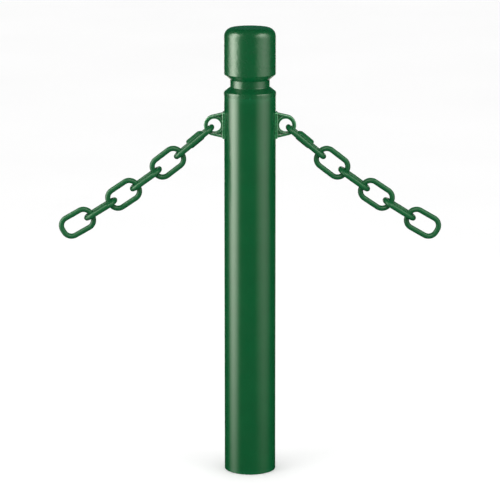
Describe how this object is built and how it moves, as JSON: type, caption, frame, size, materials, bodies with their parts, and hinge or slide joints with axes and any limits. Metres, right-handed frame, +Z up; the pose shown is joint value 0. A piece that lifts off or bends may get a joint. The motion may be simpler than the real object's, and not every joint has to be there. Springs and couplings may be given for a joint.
{
  "type": "steel safety bollard",
  "caption": "Round steel post with a cast head above a turned-in neck, an eye lug on each side, and a quick link with a length of chain hanging from each lug.",
  "frame": {"origin": "centre of the post's foot, on the ground", "axes": "+Z up along the post, +X towards the right-hand chain as seen from the front, -Y towards the front"},
  "size_m": [0.849, 0.1156, 1],
  "materials": {
    "painted_tube": "satin-gloss green paint over steel tube",
    "painted_casting": "gloss green paint over a slightly rough casting",
    "painted_chain": "gloss green paint over steel wire",
    "painted_fittings": "gloss green paint over machined steel",
    "zinc_fasteners": "bright zinc plating",
    "painted_base": "thin green paint over welded plate"
  },
  "bodies": {
    "post": {"post_tube": "painted_tube", "head_casting": "painted_casting", "head_set_screws": "zinc_fasteners", "base_plate": "painted_base", "anchor_boss": "painted_base", "right_lug": "painted_casting", "right_lug_saddle_washer": "zinc_fasteners", "right_lug_nut": "zinc_fasteners", "left_lug": "painted_casting", "left_lug_saddle_washer": "zinc_fasteners", "left_lug_nut": "zinc_fasteners"},
    "right_quick_link": {"right_quick_link": "painted_fittings"},
    "right_quick_link_nut": {"right_quick_link_nut": "painted_fittings"},
    "right_chain_link_1": {"right_chain_link_1": "painted_chain"},
    "right_chain_link_2": {"right_chain_link_2": "painted_chain"},
    "right_chain_link_3": {"right_chain_link_3": "painted_chain"},
    "right_chain_link_4": {"right_chain_link_4": "painted_chain"},
    "right_chain_link_5": {"right_chain_link_5": "painted_chain"},
    "left_quick_link": {"left_quick_link": "painted_fittings"},
    "left_quick_link_nut": {"left_quick_link_nut": "painted_fittings"},
    "left_chain_link_1": {"left_chain_link_1": "painted_chain"},
    "left_chain_link_2": {"left_chain_link_2": "painted_chain"},
    "left_chain_link_3": {"left_chain_link_3": "painted_chain"},
    "left_chain_link_4": {"left_chain_link_4": "painted_chain"},
    "left_chain_link_5": {"left_chain_link_5": "painted_chain"}
  },
  "joints": [
    {"name": "right_quick_link_swing", "type": "hinge", "parent": "post", "child": "right_quick_link", "pos_m": [0.0785, 0, 0.7845], "axis": [0, 1, 0], "range_deg": [-110, 44]},
    {"name": "right_quick_link_nut_run", "type": "slide", "parent": "right_quick_link", "child": "right_quick_link_nut", "axis": [0.7688, 0, -0.6395], "range_m": [0, 0.02]},
    {"name": "right_chain_link_1_swing", "type": "hinge", "parent": "right_quick_link", "child": "right_chain_link_1", "pos_m": [0.16207, 0, 0.71499], "axis": [0, -1, 0], "range_deg": [-65, 120]},
    {"name": "right_chain_link_2_swing", "type": "hinge", "parent": "right_chain_link_1", "child": "right_chain_link_2", "pos_m": [0.20044, 0, 0.68549], "axis": [0, 1, 0], "range_deg": [-120, 80]},
    {"name": "right_chain_link_3_swing", "type": "hinge", "parent": "right_chain_link_2", "child": "right_chain_link_3", "pos_m": [0.25969, 0, 0.64284], "axis": [0, -1, 0], "range_deg": [-120, 120]},
    {"name": "right_chain_link_4_swing", "type": "hinge", "parent": "right_chain_link_3", "child": "right_chain_link_4", "pos_m": [0.29987, 0, 0.61587], "axis": [0, 1, 0], "range_deg": [-120, 120]},
    {"name": "right_chain_link_5_swing", "type": "hinge", "parent": "right_chain_link_4", "child": "right_chain_link_5", "pos_m": [0.36185, 0, 0.57729], "axis": [0, -1, 0], "range_deg": [-120, 120]},
    {"name": "left_quick_link_swing", "type": "hinge", "parent": "post", "child": "left_quick_link", "pos_m": [-0.0785, 0, 0.7845], "axis": [0, -1, 0], "range_deg": [-110, 44]},
    {"name": "left_quick_link_nut_run", "type": "slide", "parent": "left_quick_link", "child": "left_quick_link_nut", "axis": [-0.7688, 0, -0.6395], "range_m": [0, 0.02]},
    {"name": "left_chain_link_1_swing", "type": "hinge", "parent": "left_quick_link", "child": "left_chain_link_1", "pos_m": [-0.16207, 0, 0.71499], "axis": [0, 1, 0], "range_deg": [-65, 120]},
    {"name": "left_chain_link_2_swing", "type": "hinge", "parent": "left_chain_link_1", "child": "left_chain_link_2", "pos_m": [-0.20044, 0, 0.68549], "axis": [0, -1, 0], "range_deg": [-120, 80]},
    {"name": "left_chain_link_3_swing", "type": "hinge", "parent": "left_chain_link_2", "child": "left_chain_link_3", "pos_m": [-0.25969, 0, 0.64284], "axis": [0, 1, 0], "range_deg": [-120, 120]},
    {"name": "left_chain_link_4_swing", "type": "hinge", "parent": "left_chain_link_3", "child": "left_chain_link_4", "pos_m": [-0.29987, 0, 0.61587], "axis": [0, -1, 0], "range_deg": [-120, 120]},
    {"name": "left_chain_link_5_swing", "type": "hinge", "parent": "left_chain_link_4", "child": "left_chain_link_5", "pos_m": [-0.36185, 0, 0.57729], "axis": [0, 1, 0], "range_deg": [-120, 120]}
  ]
}
